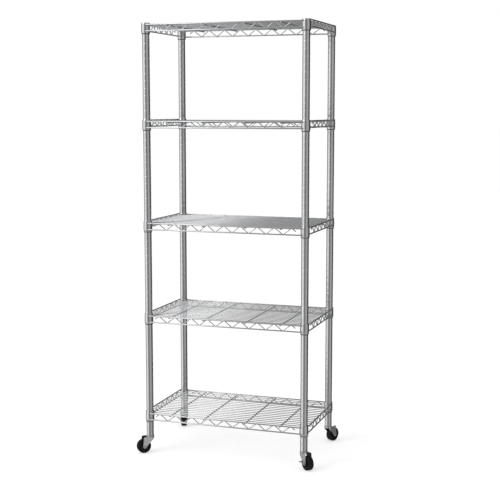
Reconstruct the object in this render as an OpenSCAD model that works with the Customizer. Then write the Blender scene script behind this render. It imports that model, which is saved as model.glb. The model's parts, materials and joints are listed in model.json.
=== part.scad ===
// Five-tier wire shelving rack on four swivel casters.
// Millimetres, +Z up, the floor at Z = 0 and the middle of the four posts at X = Y = 0.
// The front of the rack faces -Y and its right end faces +X.

/* [Overall size] */
// Distance between the left and right posts, centre to centre
post_span_x = 576; // [520:2:860]
// Distance between the front and back posts, centre to centre
post_span_y = 326; // [300:2:440]
// Height from the floor to the top of the post caps
rack_h = 1524; // [1520:1:1545]

/* [Posts] */
// Outside diameter of a post tube
post_d = 25.4; // [25.2:0.1:25.5]
// Wall thickness of a post tube
post_wall = 1.2; // [0.9:0.1:1.5]
// Distance from one ring groove to the next
groove_pitch = 25.4; // [25:0.1:25.5]
// Width of a ring groove
groove_w = 3; // [2:0.5:5]
// Depth of a ring groove
groove_depth = 0.5; // [0.3:0.1:0.6]

/* [Shelves] */
// Height of the lowest shelf's collars above the foot of the posts
foot_gap = 52.5; // [50:0.5:56]
// Ring grooves from each shelf up to the next, lowest gap first
tier_steps = [14, 13, 14, 13]; // [12:1:14]
// Diameter of the rods around the rim of a shelf
rim_d = 4.8; // [4.4:0.1:5]
// Diameter of the cross rods under the deck
cross_d = 5; // [4.6:0.1:5.2]
// Diameter of the wires that goods stand on
deck_d = 3.2; // [3:0.1:3.4]
// Diameter of the zigzag wire between two rim rods
zigzag_d = 3.6; // [3.2:0.1:4]
// Gaps between the wires, from the front rim to the back rim
deck_gaps = 16; // [14:2:18]
// Length of one wave of the front and back zigzag
zigzag_pitch_x = 61; // [50:1:66]
// Length of one wave of the end zigzag
zigzag_pitch_y = 47; // [44:1:50]

/* [Casters] */
// Height from the floor to the foot of the posts
caster_h = 62; // [62:0.5:64]
// Diameter of a wheel
wheel_d = 50; // [48:1:50]
// Width of the tyre
tyre_w = 20; // [18:1:20]
// Distance from the swivel axis back to the wheel axle
trail = 25; // [24:0.5:26]
// Direction in which each caster trails, in degrees from the front towards the right
caster_turns = [-47, 49, -152, 154]; // [-180:1:180]

/* [Hidden] */
$fn = 64;

corners = ["front_left", "front_right", "back_left", "back_right"];
corner_x = [-1, 1, -1, 1];
corner_y = [-1, -1, 1, 1];
shelf_ids = [1 : 5];
// The front pair of casters, first in the corner lists, has brake levers
braked = [0 : 1];

// Posts and their grooves
post_r = post_d / 2;
post_bore_r = post_r - post_wall;
cap_h = 2.5;
flange_h = 1.5;
plug_gap = 0.1;

// Heights in one shelf, measured up from the lower rim of its collars
grip_z = 18.5;
collar_foot = 1.2;
collar_top = 37.5;
front_top_z = 31;
rim_drop = 21.8;

// How far a welded bar sinks into the one it is welded to
weld_bite = 0.9;
deck_bite = 0.3;
end_bite = 0.2;
cross_z = front_top_z - rim_d / 2 - cross_d / 2 + weld_bite;
deck_z = cross_z + cross_d / 2 + deck_d / 2 - deck_bite;
end_top_z = deck_z + deck_d / 2 + rim_d / 2 - end_bite;

// Rim rods run just outside the collars and stop short of the post centre lines
collar_r = 15.5;
collar_bore_foot = 13.75;
collar_bore_top = 13.35;
sleeve_gap = 0.1;
rim_off = collar_r + 0.1;
rim_short = 6;
rim_x = post_span_x / 2 + rim_off;
rim_y = post_span_y / 2 + rim_off;
zigzag_in = rim_d / 2 + zigzag_d / 2 + 0.25;
nugget_d = zigzag_d + 2;
leg_start = zigzag_d / 2 + 0.1;

// Heights of the shelves and of the ring grooves
function tier_z(i) = i == 1 ? caster_h + foot_gap
                            : tier_z(i - 1) + tier_steps[i - 2] * groove_pitch;
groove_margin = 8;
grooves_below = floor((foot_gap + grip_z - groove_margin) / groove_pitch);
groove_z0 = caster_h + foot_gap + grip_z - grooves_below * groove_pitch;
groove_count = floor((rack_h - groove_margin - groove_z0) / groove_pitch) + 1;
seam_step = floor(groove_count / 2);
function groove_z(k) = groove_z0 + k * groove_pitch;
seam_z = groove_z(seam_step);

// Casters
wheel_r = wheel_d / 2;
axle_r = 3;
axle_bore_r = 3.08;
hub_r = 17;
hub_half = 11.2;
leg_in = 11.5;
leg_t = 2;
boss_r = 7;
crown_r = 14.5;
crown_z = 56.2;
crown_top = 59.2;
kingpin_r = 4.2;
stem_r = 4.8;
lever_in = leg_in + leg_t + 0.3;
lever_t = 1.4;
lever_reach = 20;
lever_lift = 3;

// ---------- helpers ----------

module at_corner(c) {
    translate([corner_x[c] * post_span_x / 2, corner_y[c] * post_span_y / 2, 0])
        children();
}

module at_corners() {
    for (c = [0 : 3])
        at_corner(c) children();
}

// A caster's own frame: X trails from the swivel axis to the wheel, Y runs along the axle
module at_caster(c) {
    at_corner(c)
        rotate([0, 0, caster_turns[c] - 90])
            children();
}

// A round bar centred on the origin, along X or along Y
module bar_x(length, d) {
    rotate([0, 90, 0]) cylinder(h = length, d = d, center = true);
}

module bar_y(length, d) {
    rotate([90, 0, 0]) cylinder(h = length, d = d, center = true);
}

// A bar along the caster's axle, between two distances from its middle
module axle_bar(from, to, r) {
    translate([trail, to, wheel_r])
        rotate([90, 0, 0])
            cylinder(h = to - from, r = r);
}

// ---------- posts ----------

function groove_points(z) = [
    [post_r, z - groove_w / 2],
    [post_r - groove_depth, z - groove_w / 4],
    [post_r - groove_depth, z + groove_w / 4],
    [post_r, z + groove_w / 2]
];

// Grooves from step k1 to step k2, as one list of outline points
function groove_run(k1, k2) = [for (k = [k1 : k2], p = groove_points(groove_z(k))) p];

module lower_post() {
    rotate_extrude()
        polygon(concat(
            [[post_bore_r, caster_h + flange_h], [post_r, caster_h + flange_h]],
            groove_run(0, seam_step - 1),
            [[post_r, seam_z - groove_w / 2], [post_r - groove_depth, seam_z]],
            [[post_bore_r, seam_z]]
        ));
}

module upper_post() {
    rotate_extrude()
        polygon(concat(
            [[post_bore_r, seam_z], [post_r - groove_depth, seam_z]],
            [[post_r, seam_z + groove_w / 2]],
            groove_run(seam_step + 1, groove_count - 1),
            [[post_r, rack_h - cap_h], [post_bore_r, rack_h - cap_h]]
        ));
}

// Screwed plug that joins a lower post to an upper post
module post_joiners() {
    plug = 22;
    color("dimgray")
        at_corners()
            translate([0, 0, seam_z - plug])
                cylinder(h = 2 * plug, r = post_bore_r - plug_gap);
}

module post_caps() {
    plug = 12;
    edge = 0.8;
    color("gainsboro")
        at_corners()
            rotate_extrude()
                polygon([
                    [0, rack_h - cap_h - plug], [post_bore_r - plug_gap, rack_h - cap_h - plug],
                    [post_bore_r - plug_gap, rack_h - cap_h], [post_r, rack_h - cap_h],
                    [post_r, rack_h - edge], [post_r - edge, rack_h], [0, rack_h]
                ]);
}

// Threaded socket in the foot of each post
module caster_sockets() {
    plug = 25;
    color("dimgray")
        at_corners()
            translate([0, 0, caster_h])
                difference() {
                    union() {
                        cylinder(h = flange_h, r = post_r);
                        cylinder(h = flange_h + plug, r = post_bore_r - plug_gap);
                    }
                    translate([0, 0, -1])
                        cylinder(h = plug + flange_h + 2, r = stem_r + plug_gap);
                }
}

// ---------- shelves ----------

// Half length of the deck wire at this Y: it stops in a collar or under the end rim
function deck_reach(y) =
    let (off = post_span_y / 2 - abs(y), seat = collar_r - weld_bite)
    abs(off) < seat ? post_span_x / 2 - sqrt(seat * seat - off * off) : rim_x;

// Deck wires run from end to end; the cross rods under them carry their load to the rims
module deck(i) {
    pitch = 2 * rim_y / deck_gaps;
    outer = deck_gaps / 2 - 1;
    cross_step = post_span_x / 4.5;
    color("silver")
        translate([0, 0, tier_z(i)]) {
            for (k = [-outer : outer])
                translate([0, k * pitch, deck_z])
                    bar_x(2 * deck_reach(k * pitch), deck_d);
            for (k = [-1.6, -0.6, 0.6, 1.6])
                translate([k * cross_step, 0, cross_z])
                    bar_y(2 * rim_y + 3, cross_d);
        }
}

// Weld where a bend of the zigzag meets a rod
module nugget() {
    rotate([0, 0, 90]) sphere(d = nugget_d);
}

// Wire bent up and down in the XZ plane, with its peaks at Z = 0 and a weld at every bend;
// a free half leg hangs from the last peak at each end
module zigzag(pitch, peaks) {
    leg = [pitch / 2, 0, -rim_drop];
    tilt = atan2(pitch / 2, rim_drop);
    for (k = [0 : peaks - 1])
        translate([(k - (peaks - 1) / 2) * pitch, 0, 0]) {
            nugget();
            for (side = [-1, 1]) {
                free = k == (side < 0 ? 0 : peaks - 1);
                leg_end = free ? norm(leg) / 2 : norm(leg) - leg_start;
                rotate([0, 180 - side * tilt, 0])
                    translate([0, 0, leg_start])
                        cylinder(h = leg_end - leg_start, d = zigzag_d);
            }
            if (k < peaks - 1)
                translate(leg) nugget();
        }
}

// Two rim rods with the zigzag welded to their inner side, along X, top rod at the origin
module truss(length, pitch, peaks) {
    bar_x(length, rim_d);
    translate([0, 0, -rim_drop])
        bar_x(length, rim_d);
    translate([0, zigzag_in, 0])
        zigzag(pitch, peaks);
}

module long_rail(i) {
    peaks = 2 * floor((post_span_x / 2 - 30) / zigzag_pitch_x) + 1;
    translate([0, -rim_y, tier_z(i) + front_top_z])
        truss(post_span_x - 2 * rim_short, zigzag_pitch_x, peaks);
}

module rail_front(i) {
    color("silver") long_rail(i);
}

module rail_back(i) {
    color("silver") mirror([0, 1, 0]) long_rail(i);
}

module end_rails(i) {
    peaks = 2 * floor((post_span_y / 2 - 20) / zigzag_pitch_y);
    color("silver")
        for (side = [-1, 1])
            translate([side * rim_x, 0, tier_z(i) + end_top_z])
                rotate([0, 0, side * 90])
                    truss(post_span_y - 2 * rim_short, zigzag_pitch_y, peaks);
}

// Radius of a collar's tapered bore at a height in the shelf
function collar_bore(z) = collar_bore_foot
    + (collar_bore_top - collar_bore_foot) * (z - collar_foot) / (collar_top - collar_foot);

// Corner collars: a little wider low down, drawn in at both rims, tapered inside
module collars(i) {
    color("silver")
        at_corners()
            translate([0, 0, tier_z(i)])
                rotate_extrude()
                    polygon([
                        [collar_bore_foot, collar_foot], [collar_r - 1.3, collar_foot],
                        [collar_r, 8.5], [collar_r - 0.4, collar_top - 3],
                        [collar_r - 1.2, collar_top], [collar_bore_top, collar_top]
                    ]);
}

// Split sleeves: two half rings with a rim below the collar, lands that step in with the
// collar's taper, and a ridge that sits in a groove of the post
module sleeves(i) {
    half_turn = 176;
    inner = post_r + 0.08;
    ridge = post_r - groove_depth + 0.1;
    foot = collar_foot - 0.1;
    lands = 3;
    land_h = (collar_top - 0.5 - foot) / lands;
    outer = [for (k = [1 : lands], end = [-1, 0])
        [collar_bore(foot + k * land_h) - sleeve_gap, foot + (k + end) * land_h]];
    color([0.08, 0.08, 0.08])
        at_corners()
            translate([0, 0, tier_z(i)])
                for (turn = [2, 182])
                    rotate([0, 0, turn])
                        rotate_extrude(angle = half_turn)
                            polygon(concat(
                                [[inner, -1.3], [collar_r - 1.2, -1.3], [collar_r - 1.2, foot]],
                                outer,
                                [[inner, collar_top - 0.5]],
                                [[inner, grip_z + 0.6], [ridge, grip_z + 0.5]],
                                [[ridge, grip_z - 0.5], [inner, grip_z - 0.6]]
                            ));
}

// ---------- casters ----------

// Threaded stem, fixed upper ball race and kingpin, one turned piece in each post foot
module caster_stems() {
    color("lightgray")
        at_corners()
            rotate_extrude()
                polygon([
                    [0, crown_z - 3], [6, crown_z - 3], [6, crown_z - 0.3],
                    [kingpin_r, crown_z - 0.3], [kingpin_r, crown_top + 0.3],
                    [crown_r - 1, crown_top + 0.3], [crown_r - 1, caster_h - 1],
                    [crown_r - 1.8, caster_h - 0.1], [stem_r, caster_h - 0.1],
                    [stem_r, caster_h + 23], [stem_r - 1, caster_h + 24],
                    [0, caster_h + 24]
                ]);
}

// Side view of the fork, in the XZ plane: wide at the crown, down to a round eye at the axle
module fork_outline() {
    polygon([
        [-crown_r, crown_top - 0.2], [trail + 3, crown_top - 0.2],
        [trail + boss_r - 0.2, wheel_r], [trail - 4.6, wheel_r - 5],
        [trail - 15.7, 34], [-5.4, 48.4], [-9, 53], [-crown_r, 55]
    ]);
    translate([trail, wheel_r]) circle(r = boss_r);
}

// Plan of the fork, in the XY plane: straight sides, open in front, round behind the kingpin
module fork_plan(half_w) {
    circle(r = half_w);
    translate([0, 0.05 - half_w])
        square([trail + 14, 2 * half_w - 0.1]);
}

// Pressed fork: crown disc under the swivel, with a leg down each side of the wheel
module fork(c) {
    color("silver")
        at_caster(c)
            difference() {
                union() {
                    translate([0, 0, crown_z])
                        cylinder(h = crown_top - crown_z, r = crown_r);
                    intersection() {
                        rotate([90, 0, 0])
                            linear_extrude(2 * crown_r, center = true) fork_outline();
                        linear_extrude(crown_top)
                            difference() {
                                fork_plan(leg_in + leg_t);
                                fork_plan(leg_in);
                            }
                    }
                }
                translate([0, 0, crown_z - 1])
                    cylinder(h = crown_top - crown_z + 2, r = kingpin_r + 0.1);
                axle_bar(-leg_in - leg_t - 1, leg_in + leg_t + 1, axle_bore_r);
            }
}

// Axle bolt: head on one side, nut on the other, outside the brake lever where there is one
module axle(c) {
    has_lever = len([for (b = braked) if (b == c) b]) > 0;
    head_in = leg_in + leg_t + 0.1;
    nut_in = has_lever ? lever_in + lever_t + 0.2 : head_in;
    color("gray")
        at_caster(c) {
            axle_bar(-nut_in - 4, head_in + 2.4, axle_r);
            axle_bar(head_in, head_in + 2.4, 5);
            translate([trail, -nut_in, wheel_r])
                rotate([90, 0, 0])
                    cylinder(h = 3, r = 5.2, $fn = 6);
        }
}

module wheel_hub(c) {
    web = 4;
    color([0.1, 0.1, 0.1])
        at_caster(c)
            translate([trail, 0, wheel_r])
                rotate([90, 0, 0])
                    rotate_extrude()
                        polygon([
                            [axle_bore_r, -hub_half], [6.5, -hub_half], [7.5, -web],
                            [13.5, -web], [14.5, -8], [hub_r - 0.05, -8],
                            [hub_r - 0.05, 8], [14.5, 8], [13.5, web], [7.5, web],
                            [6.5, hub_half], [axle_bore_r, hub_half]
                        ]);
}

// Tyre section: straight tread with round shoulders
module tyre(c) {
    shoulder = 3;
    rim = tyre_w / 2 - shoulder;
    round_edges = [for (side = [-1, 1], a = [side * 45 - 45 : 15 : side * 45 + 45])
        [wheel_r - shoulder + shoulder * cos(a), side * rim + shoulder * sin(a)]];
    color([0.05, 0.05, 0.05])
        at_caster(c)
            translate([trail, 0, wheel_r])
                rotate([90, 0, 0])
                    rotate_extrude()
                        polygon(concat(
                            [[hub_r, 2 - tyre_w / 2]],
                            round_edges,
                            [[hub_r, tyre_w / 2 - 2]]
                        ));
}

// Stamped side lever on the axle bolt, with a tab bent outwards for the foot
module brake_lever(b) {
    arm_w = 7;
    tab_w = 9;
    tab_out = 11;
    color("lightgray")
        at_caster(b)
            translate([trail, -lever_in, wheel_r])
                rotate([0, lever_lift, 0])
                    difference() {
                        union() {
                            rotate([90, 0, 0])
                                cylinder(h = lever_t, r = 6);
                            translate([-lever_reach, -lever_t, -arm_w / 2])
                                cube([lever_reach, lever_t, arm_w]);
                            translate([-lever_reach, -tab_out, arm_w / 2 - lever_t])
                                cube([tab_w, tab_out, lever_t]);
                        }
                        translate([0, 1, 0])
                            rotate([90, 0, 0])
                                cylinder(h = lever_t + 2, r = axle_bore_r);
                    }
}

// ---------- nodes ----------

for (c = [0 : 3]) {
    color("silver") at_corner(c) lower_post();
    color("silver") at_corner(c) upper_post();
    fork(c);
    axle(c);
    wheel_hub(c);
    tyre(c);
}

for (b = braked)
    brake_lever(b);

for (i = shelf_ids) {
    deck(i);
    rail_front(i);
    rail_back(i);
    end_rails(i);
    collars(i);
    sleeves(i);
}

post_joiners();
post_caps();
caster_sockets();
caster_stems();
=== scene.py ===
"""Looks for the wire shelving rack: plated posts and shelves, split sleeves and swivel casters.

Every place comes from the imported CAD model. Lengths are in metres, and MM turns millimetres into them.
"""

import json
import math

import bmesh
import bpy
from mathutils import Matrix, Vector


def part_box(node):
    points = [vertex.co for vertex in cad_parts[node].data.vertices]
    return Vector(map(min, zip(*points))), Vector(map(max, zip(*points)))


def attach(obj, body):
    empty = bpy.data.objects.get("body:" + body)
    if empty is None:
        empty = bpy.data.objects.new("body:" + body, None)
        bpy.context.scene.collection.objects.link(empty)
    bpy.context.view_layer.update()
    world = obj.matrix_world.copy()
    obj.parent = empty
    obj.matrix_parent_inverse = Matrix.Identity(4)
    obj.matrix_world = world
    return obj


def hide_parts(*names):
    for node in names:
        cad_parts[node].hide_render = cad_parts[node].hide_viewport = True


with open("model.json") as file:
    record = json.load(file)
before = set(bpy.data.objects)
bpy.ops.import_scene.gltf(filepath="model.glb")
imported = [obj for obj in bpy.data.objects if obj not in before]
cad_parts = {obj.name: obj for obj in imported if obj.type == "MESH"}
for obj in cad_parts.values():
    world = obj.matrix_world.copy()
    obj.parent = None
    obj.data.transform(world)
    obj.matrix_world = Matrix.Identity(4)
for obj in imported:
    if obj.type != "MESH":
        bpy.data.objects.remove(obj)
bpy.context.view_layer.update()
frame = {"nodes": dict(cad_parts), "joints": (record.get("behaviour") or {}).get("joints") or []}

MM = 0.001
CORNERS = ("front_left", "front_right", "back_left", "back_right")
SHELVES = range(1, 6)
RACK = "rack"

# Sizes of the wires and tubes, as in the CAD model. Only the grooves are shallower than there,
# because the photograph hardly shows them on the upper posts.
POST_R = 12.7 * MM
POST_WALL = 1.2 * MM
GROOVE_PITCH = 25.4 * MM
GROOVE_W = 3 * MM
GROOVE_DEPTH = 0.35 * MM
RIM_R = 2.4 * MM
ZIGZAG_R = 1.8 * MM
NUGGET_R = 2.8 * MM
DECK_R = 1.6 * MM
CROSS_R = 2.5 * MM
DECK_WIRES = 15
# Each rail's zigzag wire: the distance between its upper bends, and how many there are
ZIGZAG_PITCH = {"front": 61 * MM, "end": 47 * MM}
ZIGZAG_PEAKS = {"front": 9, "end": 6}
# Height of the groove that a sleeve grips, above the bottom of its collar
GRIPPED_GROOVE = 17.3 * MM
GROOVES_BELOW = 2
GROOVES_ABOVE = 55


# ---------- mesh helpers ----------


def fillet(points, radius, steps=4, closed=False):
    """The polyline with its corners rounded. A corner takes at most half of each side."""
    points = [Vector(p) for p in points]
    out = []
    for i, corner in enumerate(points):
        if not closed and i in (0, len(points) - 1):
            out.append(corner)
            continue
        before = points[i - 1] - corner
        after = points[(i + 1) % len(points)] - corner
        half_angle = before.angle(after) / 2
        if half_angle > math.radians(88):
            out.append(corner)
            continue
        cut = min(radius / math.tan(half_angle), 0.49 * before.length, 0.49 * after.length)
        start, end = corner + before.normalized() * cut, corner + after.normalized() * cut
        for k in range(steps + 1):
            t = k / steps
            out.append(start * (1 - t) ** 2 + corner * 2 * t * (1 - t) + end * t * t)
    return out


def add_part(bm, part, place=None):
    """Moves a finished part into bm and frees it."""
    if place is not None:
        part.transform(place)
    mesh = bpy.data.meshes.new("part")
    part.to_mesh(mesh)
    part.free()
    bm.from_mesh(mesh)
    bpy.data.meshes.remove(mesh)


def loft(part, rings, loop=False):
    """Joins rings of points with quads. loop joins the last ring to the first, or the ends get caps."""
    rows = [[part.verts.new(p) for p in ring] for ring in rings]
    count = len(rows[0])
    last = len(rows) if loop else len(rows) - 1
    for i in range(last):
        a, b = rows[i], rows[(i + 1) % len(rows)]
        for k in range(count):
            m = (k + 1) % count
            part.faces.new((a[k], a[m], b[m], b[k]))
    if not loop:
        part.faces.new(list(reversed(rows[0])))
        part.faces.new(rows[-1])


# Closer points are one point, and a smaller face is none (metres and square metres)
SAME_POINT = 1e-7
NO_AREA = 1e-14


def lathe(bm, outline, place, sides, start=0.0, turn=2 * math.pi):
    """Turns a closed (radius, height) outline about Z. A part turn gets end faces."""
    whole = turn == 2 * math.pi
    part = bmesh.new()
    rings = []
    for k in range(sides if whole else sides + 1):
        a = start + turn * k / sides
        rings.append([(r * math.cos(a), r * math.sin(a), z) for r, z in outline])
    loft(part, rings, loop=whole)
    bmesh.ops.remove_doubles(part, verts=part.verts, dist=SAME_POINT)
    stray = [f for f in part.faces if f.calc_area() < NO_AREA]
    bmesh.ops.delete(part, geom=stray, context="FACES")
    bmesh.ops.recalc_face_normals(part, faces=part.faces)
    add_part(bm, part, place)


# A cut bar end: distance from the tip and share of the radius there
BAR_END = ((0.0, 0.66), (0.12, 0.88), (0.4, 1.0))


def bar(bm, points, radius, sides):
    """A round bar along a line of points, with slightly rounded ends."""
    points = [Vector(p) for p in points]
    first = (points[1] - points[0]).normalized()
    last = (points[-2] - points[-1]).normalized()
    stations = [(points[0] + first * back * radius, share) for back, share in BAR_END]
    stations += [(p, 1.0) for p in points[1:-1]]
    stations += [(points[-1] + last * back * radius, share) for back, share in reversed(BAR_END)]
    side = first.orthogonal().normalized()
    heading = first
    rings = []
    for i, (centre, share) in enumerate(stations):
        before = stations[max(i - 1, 0)][0]
        after = stations[min(i + 1, len(stations) - 1)][0]
        now = (after - before).normalized()
        side = heading.rotation_difference(now) @ side
        heading = now
        up = heading.cross(side)
        r = radius * share
        turns = [2 * math.pi * k / sides for k in range(sides)]
        rings.append([centre + side * r * math.cos(a) + up * r * math.sin(a) for a in turns])
    part = bmesh.new()
    loft(part, rings)
    bmesh.ops.recalc_face_normals(part, faces=part.faces)
    add_part(bm, part)


def weld(bm, centre, radii, across=10):
    """A small smooth blob of weld metal."""
    part = bmesh.new()
    bmesh.ops.create_uvsphere(part, u_segments=across, v_segments=across // 2 + 2, radius=1)
    add_part(bm, part, Matrix.Translation(centre) @ Matrix.Diagonal((*radii, 1)))


def round_rims(part, edge):
    """Rounds every sharp edge of a part."""
    sharp = math.radians(50)
    rims = [e for e in part.edges if len(e.link_faces) == 2 and e.calc_face_angle() > sharp]
    bmesh.ops.bevel(
        part, geom=rims, offset=edge, segments=2, profile=0.5, affect="EDGES", clamp_overlap=True
    )


def plate(bm, outline, thickness, place, edge):
    """A flat plate from a closed outline in the XY plane, thick along +Z, with rounded rims."""
    part = bmesh.new()
    face = part.faces.new([part.verts.new((p[0], p[1], 0)) for p in outline])
    grown = bmesh.ops.extrude_face_region(part, geom=[face])["geom"]
    raised = [g for g in grown if isinstance(g, bmesh.types.BMVert)]
    bmesh.ops.translate(part, verts=raised, vec=(0, 0, thickness))
    bmesh.ops.recalc_face_normals(part, faces=part.faces)
    round_rims(part, edge)
    add_part(bm, part, place)


def arc(centre, radius, start, end, steps):
    """Points on a circle from one angle to another, in degrees."""
    angles = [math.radians(start + (end - start) * k / steps) for k in range(steps + 1)]
    return [(centre[0] + radius * math.cos(a), centre[1] + radius * math.sin(a)) for a in angles]


def piece(name, bm, body, slot, materials, *nodes):
    """Makes bm a piece that rides on a body and replaces CAD nodes."""
    mesh = bpy.data.meshes.new(name)
    bm.to_mesh(mesh)
    bm.free()
    for material in materials:
        mesh.materials.append(material)
    mesh.shade_smooth()
    mesh.set_sharp_from_angle(angle=math.radians(40))
    obj = bpy.data.objects.new(name, mesh)
    bpy.context.scene.collection.objects.link(obj)
    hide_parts(*nodes)
    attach(obj, body)


def paint_new_faces(bm, known, index):
    """Gives the faces added since `known` another of the piece's materials."""
    bm.faces.ensure_lookup_table()
    for face in bm.faces[known:]:
        face.material_index = index


# ---------- materials ----------


class Shader:
    """A material with one Principled shader, and helpers that feed it from noise in the object's space."""

    def __init__(self, name, metallic, roughness, specular=0.5):
        self.material = bpy.data.materials.new(name)
        self.material.use_nodes = True
        self.nodes = self.material.node_tree.nodes
        self.links = self.material.node_tree.links
        self.shader = next(n for n in self.nodes if n.type == "BSDF_PRINCIPLED")
        self.shader.inputs["Metallic"].default_value = metallic
        self.shader.inputs["Roughness"].default_value = roughness
        self.shader.inputs["Specular IOR Level"].default_value = specular
        self.place = self.nodes.new("ShaderNodeTexCoord").outputs["Object"]

    def scaled(self, scale):
        """The object's own coordinates, in metres, stretched by a scale along each axis."""
        node = self.nodes.new("ShaderNodeMapping")
        node.inputs["Scale"].default_value = scale
        self.links.new(self.place, node.inputs["Vector"])
        return node.outputs["Vector"]

    def noise(self, scale, detail=4.0, roughness=0.55, distortion=0.0):
        node = self.nodes.new("ShaderNodeTexNoise")
        node.inputs["Scale"].default_value = 1.0
        node.inputs["Detail"].default_value = detail
        node.inputs["Roughness"].default_value = roughness
        node.inputs["Distortion"].default_value = distortion
        self.links.new(self.scaled(scale), node.inputs["Vector"])
        return node.outputs["Fac"]

    def cells(self, scale):
        node = self.nodes.new("ShaderNodeTexVoronoi")
        node.inputs["Scale"].default_value = 1.0
        self.links.new(self.scaled(scale), node.inputs["Vector"])
        return node.outputs["Distance"]

    def remap(self, value, low, high, to_low, to_high):
        node = self.nodes.new("ShaderNodeMapRange")
        self.links.new(value, node.inputs["Value"])
        ranges = {"From Min": low, "From Max": high, "To Min": to_low, "To Max": to_high}
        for socket, number in ranges.items():
            node.inputs[socket].default_value = number
        return node.outputs["Result"]

    def math(self, operation, a, b):
        node = self.nodes.new("ShaderNodeMath")
        node.operation = operation
        for socket, value in zip(node.inputs, (a, b)):
            if isinstance(value, float):
                socket.default_value = value
            else:
                self.links.new(value, socket)
        return node.outputs["Value"]

    def ramp(self, value, stops):
        """A colour ramp from (place, colour) stops."""
        node = self.nodes.new("ShaderNodeValToRGB")
        elements = node.color_ramp.elements
        while len(elements) < len(stops):
            elements.new(0.5)
        for element, (place, colour) in zip(elements, stops):
            element.position = place
            element.color = (*colour, 1)
        self.links.new(value, node.inputs["Fac"])
        return node.outputs["Color"]

    def blend(self, amount, a, b):
        """Colour a where amount is 0 and b where it is 1."""
        node = self.nodes.new("ShaderNodeMix")
        node.data_type = "RGBA"
        self.links.new(amount, node.inputs["Factor"])
        for socket, colour in ((node.inputs["A"], a), (node.inputs["B"], b)):
            if isinstance(colour, tuple):
                socket.default_value = (*colour, 1)
            else:
                self.links.new(colour, socket)
        return node.outputs["Result"]

    def colour(self, value):
        self.links.new(value, self.shader.inputs["Base Color"])

    def roughness(self, value):
        self.links.new(value, self.shader.inputs["Roughness"])

    def bump(self, height, distance, strength):
        node = self.nodes.new("ShaderNodeBump")
        node.inputs["Strength"].default_value = strength
        node.inputs["Distance"].default_value = distance
        self.links.new(height, node.inputs["Height"])
        self.links.new(node.outputs["Normal"], self.shader.inputs["Normal"])


def plating(name, base, rough, grain, grain_depth):
    """Satin chrome over steel: soft cloudy haze, fine grain along the metal, faint rub marks."""
    s = Shader(name, 1.0, rough)
    haze = s.noise((9, 9, 6), detail=3)
    grain_lines = s.noise(grain, detail=5, roughness=0.65)
    scratches = s.noise((160, 160, 90), detail=6, roughness=0.7, distortion=0.6)
    rubs = s.remap(scratches, 0.6, 0.75, 0.0, 1.0)
    cloudy = s.ramp(haze, [(0.3, tuple(c * 0.93 for c in base)), (0.7, tuple(c * 1.05 for c in base))])
    s.colour(s.blend(s.math("MULTIPLY", rubs, 0.5), cloudy, tuple(c * 0.84 for c in base)))
    streaked = s.remap(grain_lines, 0.3, 0.7, rough - 0.05, rough + 0.05)
    s.roughness(s.math("ADD", streaked, s.math("MULTIPLY", rubs, 0.1)))
    s.bump(grain_lines, grain_depth, 0.5)
    return s.material


def zinc(name, base, rough):
    """Bright zinc on pressed steel: blotchy crystals, press marks and a slightly dull surface."""
    s = Shader(name, 1.0, rough)
    crystals = s.cells((260, 260, 260))
    clouds = s.noise((70, 70, 70), detail=5)
    marks = s.noise((900, 900, 140), detail=4, roughness=0.7)
    tone = s.ramp(clouds, [(0.3, tuple(c * 0.86 for c in base)), (0.72, tuple(c * 1.08 for c in base))])
    warm = (base[0] * 0.98, base[1] * 0.95, base[2] * 0.88)
    s.colour(s.blend(s.remap(crystals, 0.35, 0.75, 0.0, 0.45), tone, warm))
    uneven = s.math("ADD", marks, s.math("MULTIPLY", crystals, 0.6))
    s.roughness(s.remap(uneven, 0.4, 1.1, rough - 0.08, rough + 0.12))
    s.bump(marks, 0.06 * MM, 0.5)
    return s.material


def weld_metal(name, base):
    """Plated weld: duller than the wire, a little dark round the pool."""
    s = Shader(name, 1.0, 0.38)
    ripple = s.noise((1400, 1400, 1400), detail=3)
    stain = s.noise((300, 300, 300), detail=4)
    s.colour(s.ramp(stain, [(0.3, tuple(c * 0.62 for c in base)), (0.7, base)]))
    s.roughness(s.remap(stain, 0.3, 0.7, 0.3, 0.5))
    s.bump(ripple, 0.15 * MM, 0.6)
    return s.material


def moulded_plastic(name, base, rough):
    """Black moulding: fine spark texture, a few paler handling marks."""
    s = Shader(name, 0.0, rough, 0.45)
    spark = s.noise((2600, 2600, 2600), detail=2)
    scuffs = s.noise((120, 120, 240), detail=6, roughness=0.72, distortion=0.4)
    marks = s.remap(scuffs, 0.58, 0.74, 0.0, 1.0)
    s.colour(s.blend(s.math("MULTIPLY", marks, 0.5), base, tuple(c * 2.4 + 0.01 for c in base)))
    satin = s.remap(spark, 0.3, 0.7, rough - 0.06, rough + 0.06)
    s.roughness(s.math("ADD", satin, s.math("MULTIPLY", marks, 0.12)))
    s.bump(spark, 0.04 * MM, 0.6)
    return s.material


def tyre_rubber(name, base):
    """Black rubber: dusty scuffs where it rolls, fine pitting."""
    s = Shader(name, 0.0, 0.62, 0.18)
    pits = s.noise((1800, 1800, 1800), detail=3)
    dust = s.remap(s.noise((150, 150, 150), detail=7, roughness=0.75), 0.5, 0.72, 0.0, 1.0)
    s.colour(s.blend(s.math("MULTIPLY", dust, 0.5), base, (0.05, 0.048, 0.045)))
    s.roughness(s.math("ADD", s.remap(pits, 0.3, 0.7, 0.5, 0.64), s.math("MULTIPLY", dust, 0.16)))
    s.bump(pits, 0.08 * MM, 0.7)
    return s.material


def floor_paint():
    """Pale studio floor with a very faint mottle."""
    s = Shader("studio_floor", 0.0, 0.9, 0.1)
    mottle = s.noise((1.5, 1.5, 1.5), detail=3)
    s.colour(s.ramp(mottle, [(0.3, (0.86, 0.86, 0.86)), (0.7, (0.88, 0.88, 0.88))]))
    s.shader.inputs["Emission Color"].default_value = (1, 1, 1, 1)
    s.shader.inputs["Emission Strength"].default_value = FLOOR_GLOW
    return s.material


# ---------- posts ----------


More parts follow.
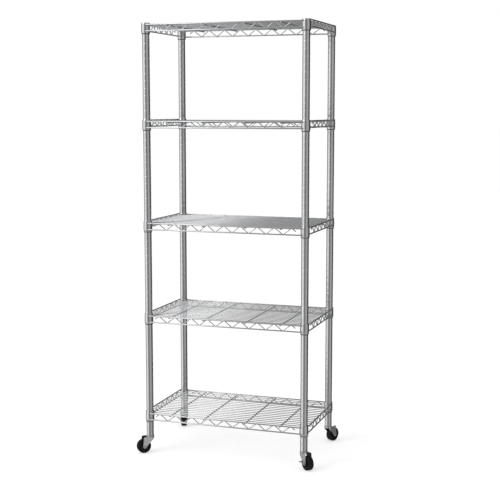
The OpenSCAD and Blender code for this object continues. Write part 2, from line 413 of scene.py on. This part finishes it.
def groove_outline(z):
    """One ring groove in a post's (radius, height) outline."""
    half, quarter = GROOVE_W / 2, GROOVE_W / 4
    floor = POST_R - GROOVE_DEPTH
    return [(POST_R, z - half), (floor, z - quarter), (floor, z + quarter), (POST_R, z + half)]


def post_tube(corner, part, grooves):
    """One length of post tube with its ring grooves."""
    node = f"post_{part}_{corner}"
    low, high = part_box(node)
    if part == "lower":
        wall = [(POST_R, low.z)]
    else:
        wall = [(POST_R - GROOVE_DEPTH, low.z), (POST_R, low.z + GROOVE_W / 2)]
    for z in grooves:
        if low.z + GROOVE_W < z < high.z - GROOVE_W:
            wall += groove_outline(z)
    if part == "upper":
        wall += [(POST_R, high.z)]
    else:
        wall += [(POST_R, high.z - GROOVE_W / 2), (POST_R - GROOVE_DEPTH, high.z)]
    outline = fillet([(r, z, 0) for r, z in wall], 0.5 * MM, steps=2)
    inner = POST_R - POST_WALL
    outline = [(p.x, p.y) for p in outline] + [(inner, high.z), (inner, low.z)]
    bm = bmesh.new()
    middle = (low + high) / 2
    lathe(bm, outline, Matrix.Translation((middle.x, middle.y, 0)), sides=40)
    piece(f"tube_{part}_{corner}", bm, RACK, "post_plating", [POST_METAL], node)


def post_caps():
    """Pressed caps: a plug in the tube, a rounded shoulder on its end and a shallow dish."""
    low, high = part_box("post_caps")
    plug_r = POST_R - POST_WALL - 0.1 * MM
    outline = [
        (0, low.z), (plug_r - 0.2 * MM, low.z), (plug_r, low.z + 1 * MM),
        (plug_r, high.z - 2.5 * MM), (POST_R, high.z - 2.5 * MM),
        (POST_R, high.z), (POST_R - 3.4 * MM, high.z),
        (POST_R - 4.4 * MM, high.z - 0.7 * MM), (0, high.z - 0.7 * MM),
    ]
    rounded = fillet([(r, z, 0) for r, z in outline], 0.9 * MM, steps=4)
    bm = bmesh.new()
    for corner in CORNERS:
        lathe(bm, [(p.x, p.y) for p in rounded], post_axis(corner), sides=40)
    piece("caps", bm, RACK, "cap_plating", [POST_METAL], "post_caps")


def post_axis(corner):
    """Moves something from the frame's origin onto a post's axis."""
    low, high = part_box(f"post_lower_{corner}")
    middle = (low + high) / 2
    return Matrix.Translation((middle.x, middle.y, 0))


# ---------- shelves ----------


def truss(bm, ends, down, inward, kind):
    """Two rim rods and the bent wire between them, welded at every bend."""
    start, end = ends
    along = (end - start).normalized()
    for shift in (Vector(), down):
        bar(bm, [start + shift, end + shift], RIM_R, sides=16)
    pitch, peaks = ZIGZAG_PITCH[kind], ZIGZAG_PEAKS[kind]
    plane = (start + end) / 2 + inward * (RIM_R + ZIGZAG_R - 0.3 * MM)
    bend_r = 3.5 * MM
    slope = math.atan2(down.length, pitch / 2)
    overshoot = down.normalized() * bend_r * (1 / math.cos(slope) - 1)
    path, bends = [], []
    for k in range(2 * peaks - 1):
        place = plane + along * (k - peaks + 1) * pitch / 2
        at_top = k % 2 == 0
        bends.append(place if at_top else place + down)
        path.append(place - overshoot if at_top else place + down + overshoot)
    # at each end half a leg turns back down from the last bend
    free_ends = []
    for tip, neighbour in ((path[0], path[1]), (path[-1], path[-2])):
        free_leg = tip - neighbour
        free_leg.z = -free_leg.z
        free_ends.append(tip + free_leg / 2)
    path = [free_ends[0], *path, free_ends[1]]
    bar(bm, fillet(path, bend_r, steps=5), ZIGZAG_R, sides=12)
    known = len(bm.faces)
    # a blob where each bend meets its rod: half its size along the rail, across it and up
    size = along * 2.7 + inward * 1.5 + Vector((0, 0, 2.3))
    for bend in bends:
        weld(bm, bend - inward * 1.9 * MM, [abs(c) * MM for c in size])
    paint_new_faces(bm, known, 1)


def rim_weld(bm, collar, rod_end, z):
    """Weld metal in the corner between a rod's end and its collar: three blobs in a row."""
    out = Vector((rod_end.x - collar.x, rod_end.y - collar.y, 0))
    along = Vector((math.copysign(1, out.x), 0, 0))
    across = Vector((0, math.copysign(1, out.y), 0))
    if abs(out.x) >= abs(out.y):
        along, across = across, along
    centre = Vector((collar.x, collar.y, z)) + (along * 7.2 + across * 13.7) * MM
    for step, size in ((-1.2, 2.9), (0.6, 3.05), (2.2, 2.7)):
        spot = centre + along * step * MM - across * 0.22 * step * MM
        radii = [abs(c) * MM for c in along * 1.7 + across * 1.5 + Vector((0, 0, size))]
        weld(bm, spot, radii, across=12)


def rail(i, side):
    """Front or back rail of a shelf."""
    node = f"rail_{side}_{i}"
    low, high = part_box(node)
    sign = -1 if side == "front" else 1
    y = (low.y + RIM_R) if side == "front" else (high.y - RIM_R)
    top = high.z - NUGGET_R
    drop = Vector((0, 0, low.z + NUGGET_R - top))
    bm = bmesh.new()
    truss(bm, (Vector((low.x, y, top)), Vector((high.x, y, top))), drop, Vector((0, -sign, 0)), "front")
    known = len(bm.faces)
    for corner in (f"{side}_left", f"{side}_right"):
        collar = post_axis(corner).to_translation()
        end_x = low.x if collar.x < 0 else high.x
        for z in (top, top + drop.z):
            rim_weld(bm, collar, Vector((end_x, y, z)), z)
    paint_new_faces(bm, known, 1)
    piece(f"truss_{side}_{i}", bm, RACK, "wire_plating", [WIRE_METAL, WELD_METAL], node)


def end_rails(i):
    """Left and right end rails of a shelf."""
    node = f"end_rails_{i}"
    low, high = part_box(node)
    top = high.z - NUGGET_R
    drop = Vector((0, 0, low.z + NUGGET_R - top))
    bm = bmesh.new()
    for sign in (-1, 1):
        x = sign * (high.x - RIM_R)
        truss(bm, (Vector((x, low.y, top)), Vector((x, high.y, top))), drop, Vector((-sign, 0, 0)), "end")
        known = len(bm.faces)
        for corner in CORNERS:
            collar = post_axis(corner).to_translation()
            if collar.x * sign < 0:
                continue
            end_y = low.y if collar.y < 0 else high.y
            for z in (top, top + drop.z):
                rim_weld(bm, collar, Vector((x, end_y, z)), z)
        paint_new_faces(bm, known, 1)
    piece(f"truss_ends_{i}", bm, RACK, "wire_plating", [WIRE_METAL, WELD_METAL], node)


def deck(i):
    """Lengthwise wires on cross rods, welded at every crossing."""
    node = f"deck_{i}"
    low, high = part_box(node)
    collar = post_axis("front_right").to_translation()
    wire_z = high.z - DECK_R
    rod_z = low.z + CROSS_R
    # the front and back rails' upper rods lie on the ends of the cross rods
    rim_y = high.y - 1.5 * MM
    pitch = 2 * rim_y / (DECK_WIRES + 1)
    cross_step = collar.x / 2.25
    cross_xs = [k * cross_step for k in (-1.6, -0.6, 0.6, 1.6)]
    bm = bmesh.new()
    for x in cross_xs:
        bar(bm, [(x, low.y, rod_z), (x, high.y, rod_z)], CROSS_R, sides=16)
    middle = (DECK_WIRES - 1) // 2
    # each wire's distance from the middle and how far it reaches: the outer two stop at the collars
    reaches = []
    for k in range(-middle, middle + 1):
        y = k * pitch
        reach = collar.x - 12.9 * MM if abs(k) == middle else high.x
        reaches.append((y, reach))
        bar(bm, [(-reach, y, wire_z), (reach, y, wire_z)], DECK_R, sides=12)
    known = len(bm.faces)
    for y, reach in reaches:
        for x in cross_xs:
            weld(bm, (x, y, (wire_z + rod_z) / 2 + 0.4 * MM), (2.0 * MM, 2.0 * MM, 1.3 * MM), across=8)
        if reach == high.x:
            for x in (-reach, reach):
                inset = math.copysign(1.2 * MM, x)
                weld(bm, (x - inset, y, wire_z + 1.2 * MM), (1.6 * MM, 2.0 * MM, 1.4 * MM), across=8)
    for x in cross_xs:
        for y in (-rim_y, rim_y):
            weld(bm, (x, y, rod_z + 1.9 * MM), (2.6 * MM, 1.9 * MM, 1.4 * MM), across=8)
    paint_new_faces(bm, known, 1)
    piece(f"wires_{i}", bm, RACK, "wire_plating", [WIRE_METAL, WELD_METAL], node)


def collars(i):
    """Pressed corner collars with a rolled foot and a drawn-in top."""
    node = f"collars_{i}"
    low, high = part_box(node)
    outer = [
        (13.9, 0.0), (14.5, 0.0), (15.5, 6.8), (15.45, 18), (15.1, 33.4), (14.4, 36.3), (13.6, 36.3),
        (13.5, 33), (13.75, 3),
    ]
    rounded = fillet([(r * MM, low.z + z * MM, 0) for r, z in outer], 0.9 * MM, steps=4, closed=True)
    bm = bmesh.new()
    for corner in CORNERS:
        lathe(bm, [(p.x, min(p.y, high.z)) for p in rounded], post_axis(corner), sides=48)
    piece(f"sockets_{i}", bm, RACK, "collar_plating", [COLLAR_METAL], node)


def sleeves(i):
    """Split plastic sleeves: two tapered halves with a rounded lip under the collar."""
    node = f"sleeves_{i}"
    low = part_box(node)[0]
    outline = [
        (12.78, 0.0), (14.3, 0.0), (14.3, 2.4), (13.5, 2.5), (13.2, 38.3), (12.78, 38.3),
        (12.78, 20.4), (12.45, 20.3), (12.45, 19.3), (12.78, 19.2),
    ]
    rounded = fillet([(r * MM, low.z + z * MM, 0) for r, z in outline], 0.35 * MM, steps=3, closed=True)
    bm = bmesh.new()
    for corner in CORNERS:
        for turn in (2, 182):
            lathe(
                bm, [(p.x, p.y) for p in rounded], post_axis(corner), sides=28,
                start=math.radians(turn), turn=math.radians(176),
            )
    piece(f"wedges_{i}", bm, RACK, "sleeve_plastic", [SLEEVE_PLASTIC], node)


# ---------- casters ----------

AXLE_Z = 25 * MM
TRAIL = 25 * MM
# Fork: its top, the round eye about the axle, and the sheet's middle beside the wheel
FORK_TOP = 59 * MM
EYE_R = 7 * MM
SHEET_MID = 12.5 * MM
SHEET_HALF = 1 * MM


def caster_frame(corner):
    """A caster's own frame on the floor: X trails to the wheel, Y runs along the axle."""
    joints = {j["name"]: j for j in frame["joints"]}
    swivel = Vector(joints[f"swivel_{corner}_turn"]["pos_m"])
    wheel = Vector(joints[f"wheel_{corner}_roll"]["pos_m"])
    heading = Vector((wheel.x - swivel.x, wheel.y - swivel.y))
    turn = Matrix.Rotation(math.atan2(heading.y, heading.x), 4, "Z")
    return Matrix.Translation((swivel.x, swivel.y, 0)) @ turn


def on_axle(place, v):
    """Moves a lathe part onto the axle, v along it: the part's Z then runs along the caster's +Y."""
    return place @ Matrix.Translation((TRAIL, v, AXLE_Z)) @ Matrix.Rotation(math.radians(-90), 4, "X")


def fork_edge(u):
    """Height of the fork's lower edge at a distance along the caster's X: a sloping line, then the eye."""
    line = [(-14.5, 55), (-9, 53), (-5.4, 48.4), (9.3, 34), (20.4, 20), (21, 18.8)]
    dx = u - TRAIL
    if abs(dx) < EYE_R and u > 19.5 * MM:
        return AXLE_Z - math.sqrt(EYE_R ** 2 - dx ** 2)
    for (u0, z0), (u1, z1) in zip(line, line[1:]):
        if u <= u1 * MM:
            return (z0 + (z1 - z0) * (u / MM - u0) / (u1 - u0)) * MM
    return AXLE_Z


def fork_front(z):
    """How far forward a leg of the fork reaches at a height."""
    if z > AXLE_Z:
        rise = (z - AXLE_Z) / (FORK_TOP - AXLE_Z)
        return TRAIL + (6.8 - 3.8 * rise) * MM
    drop = min(AXLE_Z - z, EYE_R - 0.01 * MM)
    return TRAIL + math.sqrt(EYE_R ** 2 - drop ** 2)


def fork_sheet(bm, place):
    """One pressed sheet, a U in plan: a leg on each side of the wheel and round behind the kingpin."""
    bend = 2.4 * MM
    quarter = math.pi / 2
    leg_xs = [31.8, 31.2, 30.4, 29.4, 28, 26.2, 24.6, 23, 21.4, 20.2, 19, 17, 14.5, 12, 9.3, 6.5, 3.5, 1.5]
    # the top edge is upright as far back as the first of these, and fully rolled over from the second
    upright_x, rolled_x = 14.5, 5.0
    # plan of the middle of the sheet: place, outward direction, how far its top rolls over the crown
    leg = []
    for x in leg_xs:
        share = min(1, max(0, (upright_x - x) / (upright_x - rolled_x)))
        leg.append((x * MM, SHEET_MID, 0.0, 1.0, quarter * share))
    back = []
    steps = 12
    for k in range(steps + 1):
        a = quarter + quarter * k / steps
        nx, ny = math.cos(a), math.sin(a)
        back.append((SHEET_MID * nx, SHEET_MID * ny, nx, ny, quarter))
    half = leg + back
    plan = half + [(x, -y, nx, -ny, roll) for x, y, nx, ny, roll in reversed(half[:-1])]
    rings = []
    for x, y, nx, ny, roll in plan:
        low = fork_edge(x)
        straight = FORK_TOP - (bend + SHEET_HALF) * math.sin(roll)
        # the column of the sheet's middle: how far inwards, how high, how far rolled over
        column = []
        for t in (0, 0.12, 0.3, 0.5, 0.7, 0.88, 1):
            column.append((0.0, low + (straight - low) * t, 0.0))
        for k in range(1, 6):
            a = roll * k / 5
            column.append((bend * (1 - math.cos(a)), straight + bend * math.sin(a), a))
        outer = []
        inner = []
        for inward, z, a in column:
            u = min(x, fork_front(z))
            for side, face in ((1, outer), (-1, inner)):
                shift = side * SHEET_HALF * math.cos(a) - inward
                face.append((u + nx * shift, y + ny * shift, z + side * SHEET_HALF * math.sin(a)))
        rings.append(outer + inner[::-1])
    part = bmesh.new()
    loft(part, rings)
    # where the sheet stays upright, the last points of a column fall together
    bmesh.ops.remove_doubles(part, verts=part.verts, dist=10 * SAME_POINT)
    bmesh.ops.recalc_face_normals(part, faces=part.faces)
    add_part(bm, part, place)


def fork(corner):
    """Pressed fork on its crown disc, with painted shade (a dark copy of the zinc) on the faces towards
    the wheel.
    """
    place = caster_frame(corner)
    bm = bmesh.new()
    fork_sheet(bm, place)
    to_caster = place.inverted()
    inner_y = SHEET_MID - SHEET_HALF + 0.2 * MM
    # the faces inside the fork, towards the wheel, get the dark copy of the zinc: painted shade where the
    # legs and wheel shade them
    for face in bm.faces:
        middle = to_caster @ face.calc_center_median()
        inside = abs(middle.y) < inner_y and middle.x > -9 * MM and middle.z < FORK_TOP - 1 * MM
        face.material_index = 1 if inside else 0
    known = len(bm.faces)
    crown = [(4.35, 56.2), (12.6, 56.2), (14.5, 57), (14.5, 58.4), (13.4, 59.2), (4.35, 59.2)]
    rounded = fillet([(r * MM, z * MM, 0) for r, z in crown], 0.7 * MM, steps=4, closed=True)
    lathe(bm, [(p.x, p.y) for p in rounded], place, sides=48)
    for side in (-1, 1):
        eye = [(3.1, 0), (5.9, 0), (5.9, 0.12), (5.4, 0.35), (3.1, 0.35)]
        flip = Matrix.Diagonal((1, 1, side, 1))
        lathe(bm, [(r * MM, z * MM) for r, z in eye], on_axle(place, side * 13.4 * MM) @ flip, sides=32)
    paint_new_faces(bm, known, 0)
    bmesh.ops.recalc_face_normals(bm, faces=bm.faces)
    metals = [ZINC, PAINTED_SHADE_ZINC]
    piece(f"yoke_{corner}", bm, f"swivel_{corner}", "caster_steel", metals, f"fork_{corner}")


def axle(corner, braked):
    """Bolt with a domed head on one side, a hexagon nut and thread on the other."""
    place = caster_frame(corner)
    # the head and the nut start on the legs' outer faces, and the nut over the brake lever if there is one
    head, nut = 13.6 * MM, (15.4 if braked else 13.6) * MM
    bm = bmesh.new()
    crest, root, half_pitch = 3.0, 2.72, 0.25
    thread = [(crest if k % 2 else root, half_pitch * k) for k in range(17)]
    shank = [(0, -nut - 4 * MM), (2.3 * MM, -nut - 4 * MM)]
    shank += [(r * MM, -nut - 3.9 * MM + z * MM) for r, z in thread]
    shank += [(3 * MM, -nut + 0.5 * MM), (3 * MM, head + 0.2 * MM), (0, head + 0.2 * MM)]
    lathe(bm, shank, on_axle(place, 0), sides=32)
    dome = [(0, 0), (4.9, 0), (5.0, 0.3), (4.7, 1.2), (3.4, 2.0), (1.6, 2.35), (0, 2.4)]
    lathe(bm, [(r * MM, head + z * MM) for r, z in dome], on_axle(place, 0), sides=32)
    hexagon = arc((0, 0), 5.2 * MM, 0, 300, 5)
    plate(bm, hexagon, 3 * MM, on_axle(place, -nut - 3 * MM), edge=0.4 * MM)
    bmesh.ops.recalc_face_normals(bm, faces=bm.faces)
    piece(f"bolt_{corner}", bm, f"swivel_{corner}", "bolt_steel", [BOLT_METAL], f"axle_{corner}")


def wheel_hub(corner):
    """Moulded hub: boss, thin disc, rim and six ribs on each side."""
    place = caster_frame(corner)
    outline = [
        (3.08, -11.2), (6.3, -11.2), (7.2, -3), (13.4, -3), (14.6, -8.2), (16.95, -8.2),
        (16.95, 8.2), (14.6, 8.2), (13.4, 3), (7.2, 3), (6.3, 11.2), (3.08, 11.2),
    ]
    rounded = fillet([(r * MM, z * MM, 0) for r, z in outline], 0.6 * MM, steps=3, closed=True)
    bm = bmesh.new()
    lathe(bm, [(p.x, p.y) for p in rounded], on_axle(place, 0), sides=56)
    boss, rim, half_rib = 6.0 * MM, 14.6 * MM, 0.9 * MM
    rib = [(boss, -half_rib), (rim, -half_rib), (rim, half_rib), (boss, half_rib)]
    for k in range(6):
        turn = Matrix.Rotation(math.radians(60 * k + 15), 4, "Z")
        plate(bm, rib, 14 * MM, on_axle(place, -7 * MM) @ turn, edge=0.3 * MM)
    piece(f"hub_{corner}", bm, f"wheel_{corner}", "hub_plastic", [HUB_PLASTIC], f"wheel_hub_{corner}")


def tyre(corner):
    """Tyre with round shoulders, a bead line on each side and a mould line round the tread."""
    place = caster_frame(corner)
    half = [(17.0, 7.9), (18.0, 8.3), (18.3, 8.8), (19.1, 9.1), (19.5, 8.95), (21.2, 9.75), (21.8, 10.0)]
    half += arc((22, 7), 3, 82, 6, 8) + [(25.0, 6.9), (25.0, 0.4), (24.85, 0.25), (24.85, 0.0)]
    outline = half + [(r, -v) for r, v in reversed(half[:-1])]
    bm = bmesh.new()
    lathe(bm, [(r * MM, v * MM) for r, v in outline], on_axle(place, 0), sides=72)
    piece(f"tread_{corner}", bm, f"wheel_{corner}", "tyre_rubber", [TYRE_RUBBER], f"tyre_{corner}")


def caster_stems():
    """Fixed upper race, kingpin with its peened end, and the stem up into the post."""
    outline = [
        (0, 53.2), (4.6, 53.2), (5.8, 54.1), (6, 55.9), (4.2, 55.9), (4.2, 59.5), (12.6, 59.5), (13.5, 60),
        (13.5, 60.6), (12.4, 61.2), (12.4, 61.9), (4.8, 61.9), (4.8, 85), (3.8, 86), (0, 86),
    ]
    rounded = fillet([(r * MM, z * MM, 0) for r, z in outline], 0.4 * MM, steps=3)
    bm = bmesh.new()
    for corner in CORNERS:
        lathe(bm, [(p.x, p.y) for p in rounded], post_axis(corner), sides=40)
    piece("stems", bm, RACK, "caster_steel", [ZINC], "caster_stems")


def brake_lever(corner):
    """Side lever: an arm from the axle bolt, and a ribbed tab bent outwards for the foot."""
    place = caster_frame(corner)
    # the lever lies against the leg's outer face, and its tab points a little above the axle
    thick, lift, inner = 1.4 * MM, math.radians(3), -13.8 * MM
    # the lever's own frame: X runs from the tab to the axle, Y along the axle, Z up
    lever = place @ Matrix.Translation((TRAIL, inner, AXLE_Z)) @ Matrix.Rotation(lift, 4, "Y")
    # the same for a plate that stands on edge: Y up, and its thickness outwards
    flat = lever @ Matrix.Rotation(math.radians(90), 4, "X")
    eye = [(x * MM, y * MM) for x, y in arc((0, 0), 6, -145, 145, 14)]
    arm = eye + [(-8 * MM, 3.5 * MM), (-19 * MM, 3.5 * MM), (-20 * MM, 2.5 * MM), (-20 * MM, -1.5 * MM)]
    arm += [(-18.5 * MM, -3.3 * MM), (-8 * MM, -3.5 * MM)]
    bm = bmesh.new()
    plate(bm, arm, thick, flat, edge=0.3 * MM)
    # the foot tab's section, up from the arm and then outwards, and its two ends along the arm
    path = [(-0.7, 0.5), (-0.7, 2.8), (-11.0, 2.8)]
    tab_start, tab_end = -20, -11
    line = fillet([(v * MM, z * MM, 0) for v, z in path], 1.8 * MM, steps=5)
    rings = []
    for i, p in enumerate(line):
        ahead = (line[min(i + 1, len(line) - 1)] - line[max(i - 1, 0)]).normalized()
        side = Vector((-ahead.y, ahead.x, 0)) * thick / 2
        edges = ((tab_start, p + side), (tab_end, p + side), (tab_end, p - side), (tab_start, p - side))
        rings.append([(u * MM, q.x, q.y) for u, q in edges])
    part = bmesh.new()
    loft(part, rings)
    bmesh.ops.recalc_face_normals(part, faces=part.faces)
    round_rims(part, 0.3 * MM)
    add_part(bm, part, lever)
    # three raised bars for grip
    for v in (-4.6, -6.8, -9.0):
        ends = [lever @ Vector((u * MM, v * MM, 3.45 * MM)) for u in (-19.2, -11.8)]
        bar(bm, ends, 0.5 * MM, sides=10)
    piece(f"pedal_{corner}", bm, f"brake_{corner}", "caster_steel", [ZINC], f"brake_lever_{corner}")


# ---------- studio ----------

FLOOR_GLOW = 0.5
FLOOR_RADIUS = 60
# Brightness of what the camera sees behind the rack, and of what the metal mirrors above and below
BACKGROUND = 1.0
OVERHEAD = 0.7
UNDERFOOT = 0.5


def studio_floor():
    """A wide pale disc that catches the contact shadows."""
    bm = bmesh.new()
    bmesh.ops.create_circle(bm, cap_ends=True, segments=96, radius=FLOOR_RADIUS)
    mesh = bpy.data.meshes.new("studio_floor")
    bm.to_mesh(mesh)
    bm.free()
    mesh.materials.append(floor_paint())
    floor = bpy.data.objects.new("studio_floor", mesh)
    bpy.context.scene.collection.objects.link(floor)
    # the metal mirrors the surroundings below it instead of the floor
    floor.visible_glossy = False


def studio_world():
    """Soft surroundings: a wide bright wall on the left, a dim one on the right, dark gaps between."""
    world = bpy.data.worlds.new("studio")
    bpy.context.scene.world = world
    world.use_nodes = True
    nodes, links = world.node_tree.nodes, world.node_tree.links
    nodes.clear()
    direction = nodes.new("ShaderNodeSeparateXYZ")
    links.new(nodes.new("ShaderNodeTexCoord").outputs["Generated"], direction.inputs["Vector"])
    front = nodes.new("ShaderNodeMath")
    front.operation = "MULTIPLY"
    front.inputs[1].default_value = -1
    links.new(direction.outputs["Y"], front.inputs[0])
    angle = nodes.new("ShaderNodeMath")
    angle.operation = "ARCTAN2"
    links.new(direction.outputs["X"], angle.inputs[0])
    links.new(front.outputs[0], angle.inputs[1])
    share = nodes.new("ShaderNodeMapRange")
    share.inputs["From Min"].default_value = -math.pi
    share.inputs["From Max"].default_value = math.pi
    links.new(angle.outputs[0], share.inputs["Value"])
    walls = nodes.new("ShaderNodeValToRGB")
    # angle from straight in front of the rack, towards its right, and how bright the studio is there
    stops = [
        (-180, 0.2), (-150, 0.36), (-116, 0.14), (-97, 0.4),
        (-84, 0.95), (-58, 1.25), (-28, 1.2), (-12, 0.35),
        (8, 0.2), (26, 0.3), (46, 0.6), (82, 0.6),
        (100, 0.18), (120, 0.05), (158, 0.05), (180, 0.2),
    ]
    while len(walls.color_ramp.elements) < len(stops):
        walls.color_ramp.elements.new(0.5)
    for element, (degrees, grey) in zip(walls.color_ramp.elements, stops):
        element.position = (degrees + 180) / 360
        element.color = (grey, grey, grey, 1)
    links.new(share.outputs["Result"], walls.inputs["Fac"])
    shade = walls.outputs["Color"]
    # above and below, from one height of the unit direction to another, the walls give way to these
    for start, end, grey in ((0.45, 0.8, OVERHEAD), (-0.3, -0.6, UNDERFOOT)):
        share = nodes.new("ShaderNodeMapRange")
        share.inputs["From Min"].default_value = start
        share.inputs["From Max"].default_value = end
        links.new(direction.outputs["Z"], share.inputs["Value"])
        mixed = nodes.new("ShaderNodeMix")
        mixed.data_type = "RGBA"
        mixed.inputs["B"].default_value = (grey, grey, grey, 1)
        links.new(share.outputs["Result"], mixed.inputs["Factor"])
        links.new(shade, mixed.inputs["A"])
        shade = mixed.outputs["Result"]
    around = nodes.new("ShaderNodeBackground")
    links.new(shade, around.inputs["Color"])
    seen = nodes.new("ShaderNodeBackground")
    seen.inputs["Color"].default_value = (BACKGROUND, BACKGROUND, BACKGROUND, 1)
    choice = nodes.new("ShaderNodeMixShader")
    links.new(nodes.new("ShaderNodeLightPath").outputs["Is Camera Ray"], choice.inputs["Fac"])
    links.new(around.outputs[0], choice.inputs[1])
    links.new(seen.outputs[0], choice.inputs[2])
    links.new(choice.outputs[0], nodes.new("ShaderNodeOutputWorld").inputs["Surface"])


def soft_light(name, place, target, size, power):
    """A rectangular area light at a place, aimed at a target."""
    light = bpy.data.lights.new(name, "AREA")
    light.shape = "RECTANGLE"
    light.size, light.size_y = size
    light.energy = power
    obj = bpy.data.objects.new(name, light)
    obj.location = place
    obj.rotation_euler = (Vector(target) - Vector(place)).to_track_quat("-Z", "Y").to_euler()
    bpy.context.scene.collection.objects.link(obj)


def camera():
    """The photograph's view: from the front, right of centre and a little above the middle."""
    azimuth, elevation, distance = math.radians(18.86), math.radians(7.25), 3.985
    aim = Vector((0.0342, 0.0066, 0.7278))
    back = Vector((
        math.sin(azimuth) * math.cos(elevation),
        -math.cos(azimuth) * math.cos(elevation),
        math.sin(elevation),
    ))
    data = bpy.data.cameras.new("camera")
    data.sensor_width = 36
    data.lens = 80.02
    data.clip_end = 200
    obj = bpy.data.objects.new("camera", data)
    obj.location = aim + back * distance
    obj.rotation_euler = (-back).to_track_quat("-Z", "Y").to_euler()
    bpy.context.scene.collection.objects.link(obj)
    bpy.context.scene.camera = obj


# ---------- everything together ----------

camera()
bpy.context.scene.view_settings.view_transform = "Standard"

SILVER = (0.60, 0.605, 0.615)
POST_METAL = plating("post_chrome", SILVER, 0.2, (700, 700, 25), 0.008 * MM)
WIRE_METAL = plating("wire_chrome", SILVER, 0.24, (260, 260, 260), 0.012 * MM)
COLLAR_METAL = plating("collar_chrome", SILVER, 0.22, (300, 300, 40), 0.012 * MM)
WELD_METAL = weld_metal("weld", (0.5, 0.5, 0.5))
ZINC = zinc("zinc", (0.64, 0.65, 0.67), 0.32)
# a dark copy of the zinc: painted shade for the fork's inner faces
PAINTED_SHADE_ZINC = zinc("zinc_fork_painted_shade", (0.09, 0.09, 0.092), 0.5)
BOLT_METAL = zinc("bolt_zinc", (0.45, 0.46, 0.47), 0.36)
SLEEVE_PLASTIC = moulded_plastic("sleeve_plastic", (0.012, 0.012, 0.013), 0.42)
HUB_PLASTIC = moulded_plastic("hub_plastic", (0.005, 0.005, 0.0055), 0.42)
TYRE_RUBBER = tyre_rubber("tyre_rubber", (0.004, 0.004, 0.004))

first_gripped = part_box("collars_1")[0].z + GRIPPED_GROOVE
groove_heights = [first_gripped + k * GROOVE_PITCH for k in range(-GROOVES_BELOW, GROOVES_ABOVE)]
for corner in CORNERS:
    post_tube(corner, "lower", groove_heights)
    post_tube(corner, "upper", groove_heights)
post_caps()

for i in SHELVES:
    deck(i)
    rail(i, "front")
    rail(i, "back")
    end_rails(i)
    collars(i)
    sleeves(i)

caster_stems()
for corner in CORNERS:
    front_pair = corner.startswith("front")
    fork(corner)
    axle(corner, front_pair)
    wheel_hub(corner)
    tyre(corner)
    if front_pair:
        brake_lever(corner)

# these two are hidden inside the posts and keep their CAD meshes
for node in ("post_joiners", "caster_sockets"):
    mesh = frame["nodes"][node].data
    mesh.materials.clear()
    mesh.materials.append(BOLT_METAL)

studio_floor()
studio_world()
soft_light("key", (-2.2, -2.4, 3.0), (0, 0, 0.7), (1.6, 1.6), 25)
